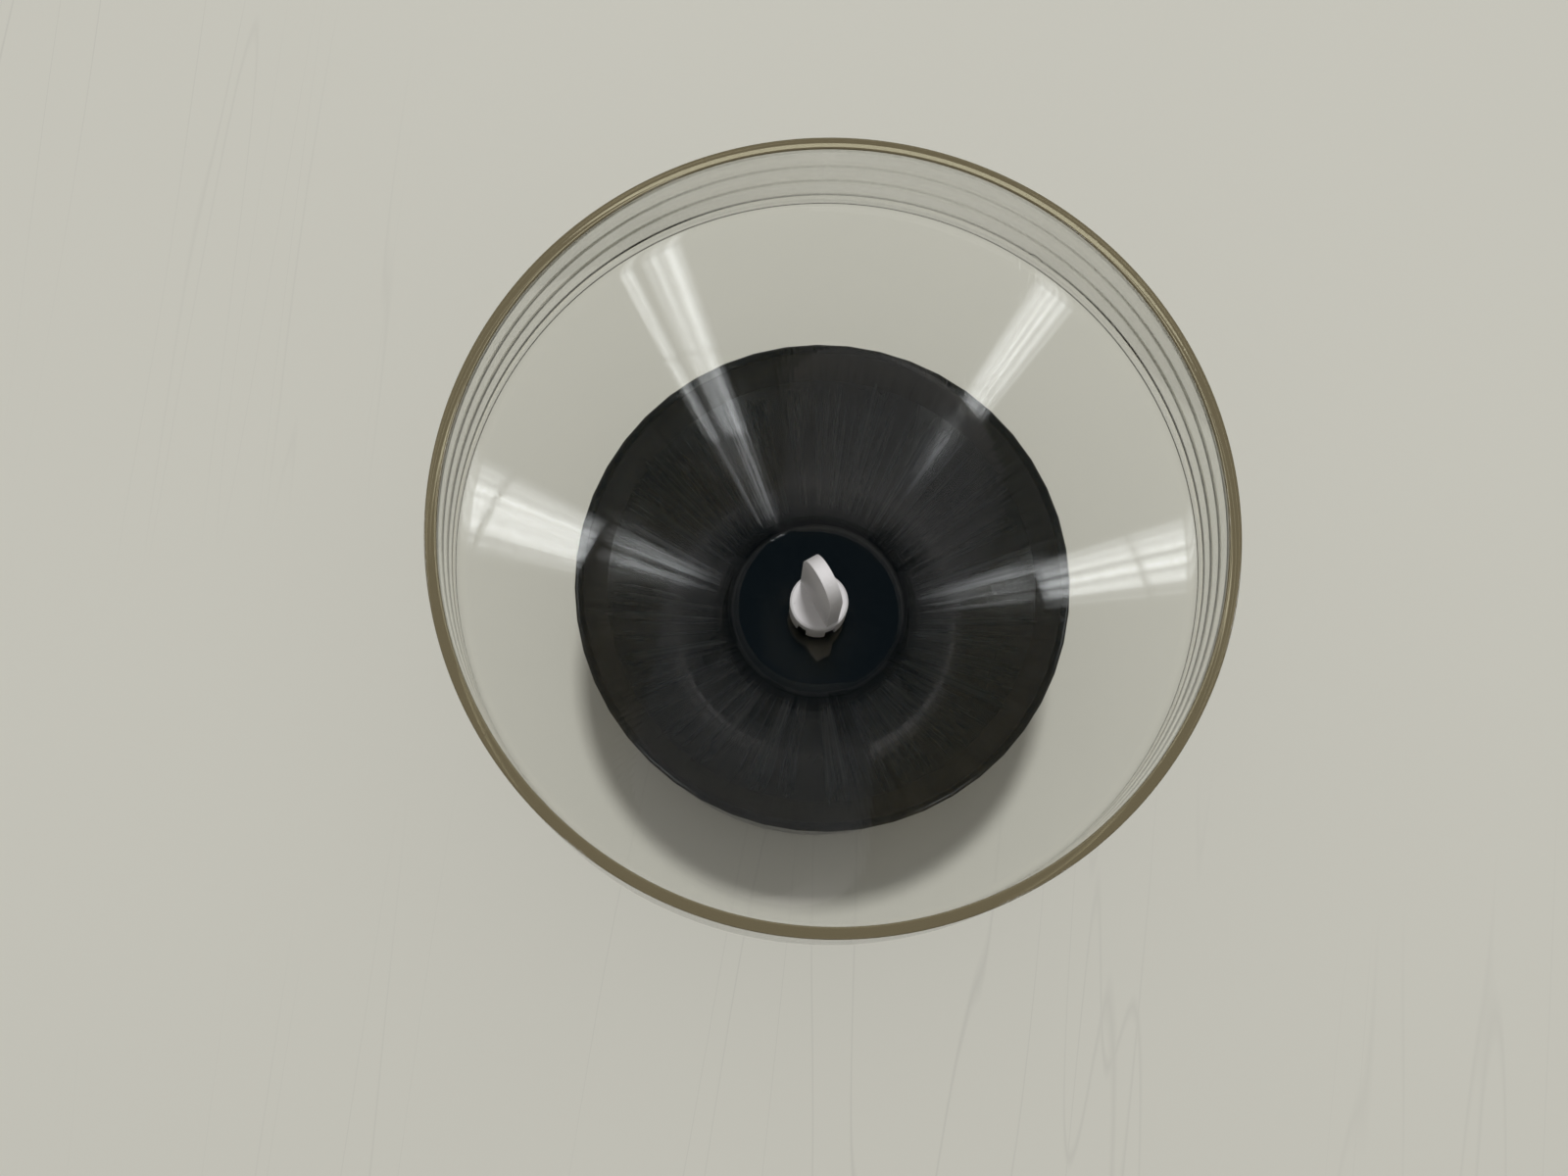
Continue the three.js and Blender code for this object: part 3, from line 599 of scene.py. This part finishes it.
def camera():
    """Looks almost straight down, leaning towards +Y and rolled a little."""
    data = bpy.data.cameras.new("camera")
    data.lens = CAMERA_LENS
    data.sensor_width = SENSOR_WIDTH
    data.clip_start = 0.01
    made = bpy.data.objects.new("camera", data)
    pitch = math.radians(CAMERA_PITCH)
    roll = math.radians(CAMERA_ROLL)
    forward = Vector((0, math.sin(pitch), -math.cos(pitch)))
    upright = Vector((0, math.cos(pitch), math.sin(pitch)))
    right = math.cos(roll) * Vector((1, 0, 0)) + math.sin(roll) * upright
    up = math.cos(roll) * upright - math.sin(roll) * Vector((1, 0, 0))
    turn = Matrix((right, up, -forward)).transposed().to_4x4()
    made.matrix_world = Matrix.Translation(CAMERA_PLACE) @ turn
    bpy.context.scene.collection.objects.link(made)
    bpy.context.scene.camera = made


def overhead_lamp():
    """A soft lamp for matt surfaces, a little beyond the object; it is not seen in reflections."""
    data = bpy.data.lights.new("overhead", "AREA")
    data.shape = "RECTANGLE"
    data.size = OVERHEAD_SIZE
    data.size_y = OVERHEAD_SIZE
    data.energy = OVERHEAD_WATTS
    made = bpy.data.objects.new("overhead", data)
    turn = math.radians(OVERHEAD_AZIMUTH)
    rise = math.radians(OVERHEAD_ELEVATION)
    away = Vector((math.cos(rise) * math.cos(turn), math.cos(rise) * math.sin(turn), math.sin(rise)))
    made.location = away * OVERHEAD_DISTANCE + Vector((0, 0, AIM_HEIGHT))
    made.rotation_euler = away.to_track_quat("Z", "Y").to_euler()
    made.visible_glossy = False
    made.visible_transmission = False
    bpy.context.scene.collection.objects.link(made)


def windows(tree, way):
    """1 in the middle of each bright window along the horizon, fading to 0 at its sides."""
    found = 0.0
    for azimuth, half_width in WINDOWS:
        turn = math.radians(azimuth)
        near = add(tree, "VectorMath", {"operation": "DOT_PRODUCT"}, Vector=way)
        near.inputs[1].default_value = (math.cos(turn), math.sin(turn), 0)
        edge = math.cos(math.radians(half_width))
        found = sums(tree, "MAXIMUM", found, spread(tree, near.outputs["Value"], edge, 1.0))
    blinds = add(tree, "TexNoise", None, Vector=way, Scale=38.0, Detail=3.0).outputs["Fac"]
    return sums(tree, "MULTIPLY", found, spread(tree, blinds, 0.38, 0.62, 0.25, 1.0))


def room():
    """A pale room for matt surfaces and the background; in reflections dark, with bright windows."""
    world = bpy.data.worlds.new("room")
    world.use_nodes = True
    tree = world.node_tree
    sky = tree.nodes["Background"]
    path = add(tree, "LightPath")
    way = add(tree, "TexCoord").outputs["Generated"]
    level = add(tree, "VectorMath", {"operation": "MULTIPLY"}, Vector=way)
    level.inputs[1].default_value = (1, 1, 0)
    flat = add(tree, "VectorMath", {"operation": "NORMALIZE"}, Vector=level.outputs[0]).outputs[0]
    height = add(tree, "SeparateXYZ", Vector=way).outputs["Z"]
    low = spread(tree, height, 0.6, 0.8, 1.0, 0.0)
    mirrored = mixed(tree, low, CEILING_COLOUR, WALL_COLOUR)
    mirrored = mixed(tree, sums(tree, "MULTIPLY", low, windows(tree, flat)), mirrored, WINDOW_COLOUR)
    mirrored = mixed(tree, spread(tree, path.outputs["Glossy Depth"], 1.0, 2.0), mirrored, RIM_COLOUR)
    shiny = mixed(tree, spread(tree, path.outputs["Glossy Depth"], 0.0, 1.0), ROOM_COLOUR, mirrored)
    matt = spread(tree, path.outputs["Diffuse Depth"], 0.0, 1.0)
    tree.links.new(mixed(tree, matt, shiny, ROOM_COLOUR), sky.inputs["Color"])
    bpy.context.scene.world = world


camera()
room()
overhead_lamp()
table()
clear_bowl()
pull_cord()
dress_nodes()

bpy.context.scene.view_settings.view_transform = "Standard"
